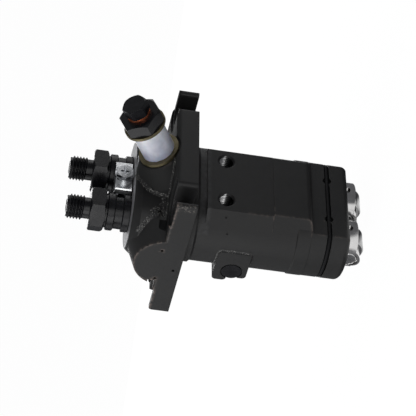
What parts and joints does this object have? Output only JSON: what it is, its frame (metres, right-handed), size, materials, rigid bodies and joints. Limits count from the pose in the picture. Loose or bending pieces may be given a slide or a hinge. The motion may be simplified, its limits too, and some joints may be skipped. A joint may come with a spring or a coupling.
{
  "type": "diesel injection pump",
  "caption": "Flange-mounted in-line diesel injection pump with roller tappets, control rack, threaded outlets and a tilted fuel inlet with bleed screw.",
  "frame": {"origin": "middle of the flange's mounting face, between the plunger axes", "axes": "+Z along the plungers towards the outlets, X along the row of plungers, -Y to the front with the fuel inlet and the two tapped holes; the rollers point to -Z"},
  "size_m": [0.0762, 0.1038, 0.1463],
  "materials": {
    "cast_housing": "matt, phosphated dark casting",
    "black_oxide_steel": "satin black oxide",
    "zinc_plate": "bright zinc",
    "machined_steel": "machined",
    "ground_steel": "ground",
    "spring_steel": "satin",
    "brass_washer": "dull",
    "copper_washer": "dull copper",
    "translucent_plastic": "milky, semi-gloss",
    "black_rubber": "matt"
  },
  "bodies": {
    "housing": {"pump_housing": "cast_housing", "retaining_ring": "black_oxide_steel", "lock_plate_front": "zinc_plate", "lock_plate_rear": "zinc_plate", "lock_screw": "zinc_plate", "lock_screw_washer": "zinc_plate", "rack_guide_screw": "black_oxide_steel", "rack_guide_washer": "copper_washer", "inlet_hollow_bolt": "black_oxide_steel", "inlet_washer_lower": "brass_washer", "inlet_washer_upper": "brass_washer", "inlet_sleeve": "translucent_plastic", "bleed_screw": "black_oxide_steel", "bleed_washer": "copper_washer", "plunger_barrel_1": "machined_steel", "plunger_barrel_2": "machined_steel", "delivery_valve_seat_1": "machined_steel", "delivery_valve_seat_2": "machined_steel", "seat_gasket_1": "copper_washer", "seat_gasket_2": "copper_washer", "delivery_valve_spring_1": "spring_steel", "delivery_valve_spring_2": "spring_steel", "delivery_valve_holder_1": "black_oxide_steel", "delivery_valve_holder_2": "black_oxide_steel", "holder_seal_1": "black_rubber", "holder_seal_2": "black_rubber", "upper_spring_seat_1": "machined_steel", "upper_spring_seat_2": "machined_steel", "plunger_spring_1": "spring_steel", "plunger_spring_2": "spring_steel", "tappet_guide_pin_1": "machined_steel", "tappet_guide_pin_2": "machined_steel"},
    "rack": {"control_rack": "machined_steel", "rack_link_pin": "machined_steel"},
    "tappet_1": {"tappet_body_1": "machined_steel", "roller_pin_1": "ground_steel", "lower_spring_seat_1": "machined_steel"},
    "roller_1": {"tappet_roller_1": "ground_steel", "roller_bush_1": "brass_washer"},
    "sleeve_1": {"control_sleeve_1": "machined_steel"},
    "plunger_1": {"plunger_1": "machined_steel"},
    "delivery_valve_1": {"delivery_valve_1": "machined_steel"},
    "tappet_2": {"tappet_body_2": "machined_steel", "roller_pin_2": "ground_steel", "lower_spring_seat_2": "machined_steel"},
    "roller_2": {"tappet_roller_2": "ground_steel", "roller_bush_2": "brass_washer"},
    "sleeve_2": {"control_sleeve_2": "machined_steel"},
    "plunger_2": {"plunger_2": "machined_steel"},
    "delivery_valve_2": {"delivery_valve_2": "machined_steel"}
  },
  "joints": [
    {"name": "rack_slide", "type": "slide", "parent": "housing", "child": "rack", "axis": [1, 0, 0], "range_m": [0, 0.008]},
    {"name": "tappet_1_lift", "type": "slide", "parent": "housing", "child": "tappet_1", "axis": [0, 0, 1], "range_m": [0, 0.008], "stiffness_N_per_m": 10000, "springref_m": -0.008, "deforming": ["plunger_spring_1"]},
    {"name": "roller_1_spin", "type": "hinge", "parent": "tappet_1", "child": "roller_1", "pos_m": [0.0125, 0, -0.0816], "axis": [1, 0, 0], "continuous": true},
    {"name": "sleeve_1_turn", "type": "hinge", "parent": "housing", "child": "sleeve_1", "pos_m": [0.0125, 0, -0.0257], "axis": [0, 0, 1], "range_deg": [-57.3, 0]},
    {"name": "plunger_1_turn", "type": "hinge", "parent": "tappet_1", "child": "plunger_1", "pos_m": [0.0125, 0, -0.0435], "axis": [0, 0, 1], "range_deg": [-57.3, 0]},
    {"name": "delivery_valve_1_lift", "type": "slide", "parent": "housing", "child": "delivery_valve_1", "axis": [0, 0, 1], "range_m": [0, 0.0025], "stiffness_N_per_m": 2000, "springref_m": -0.003, "deforming": ["delivery_valve_spring_1"]},
    {"name": "tappet_2_lift", "type": "slide", "parent": "housing", "child": "tappet_2", "axis": [0, 0, 1], "range_m": [0, 0.008], "stiffness_N_per_m": 10000, "springref_m": -0.008, "deforming": ["plunger_spring_2"]},
    {"name": "roller_2_spin", "type": "hinge", "parent": "tappet_2", "child": "roller_2", "pos_m": [-0.0125, 0, -0.0816], "axis": [1, 0, 0], "continuous": true},
    {"name": "sleeve_2_turn", "type": "hinge", "parent": "housing", "child": "sleeve_2", "pos_m": [-0.0125, 0, -0.0257], "axis": [0, 0, 1], "range_deg": [-57.3, 0]},
    {"name": "plunger_2_turn", "type": "hinge", "parent": "tappet_2", "child": "plunger_2", "pos_m": [-0.0125, 0, -0.0435], "axis": [0, 0, 1], "range_deg": [-57.3, 0]},
    {"name": "delivery_valve_2_lift", "type": "slide", "parent": "housing", "child": "delivery_valve_2", "axis": [0, 0, 1], "range_m": [0, 0.0025], "stiffness_N_per_m": 2000, "springref_m": -0.003, "deforming": ["delivery_valve_spring_2"]}
  ],
  "couplings": [
    {"joint": "sleeve_1_turn", "follows": "rack_slide", "rad_per_m": -125},
    {"joint": "plunger_1_turn", "follows": "rack_slide", "rad_per_m": -125},
    {"joint": "sleeve_2_turn", "follows": "rack_slide", "rad_per_m": -125},
    {"joint": "plunger_2_turn", "follows": "rack_slide", "rad_per_m": -125}
  ]
}
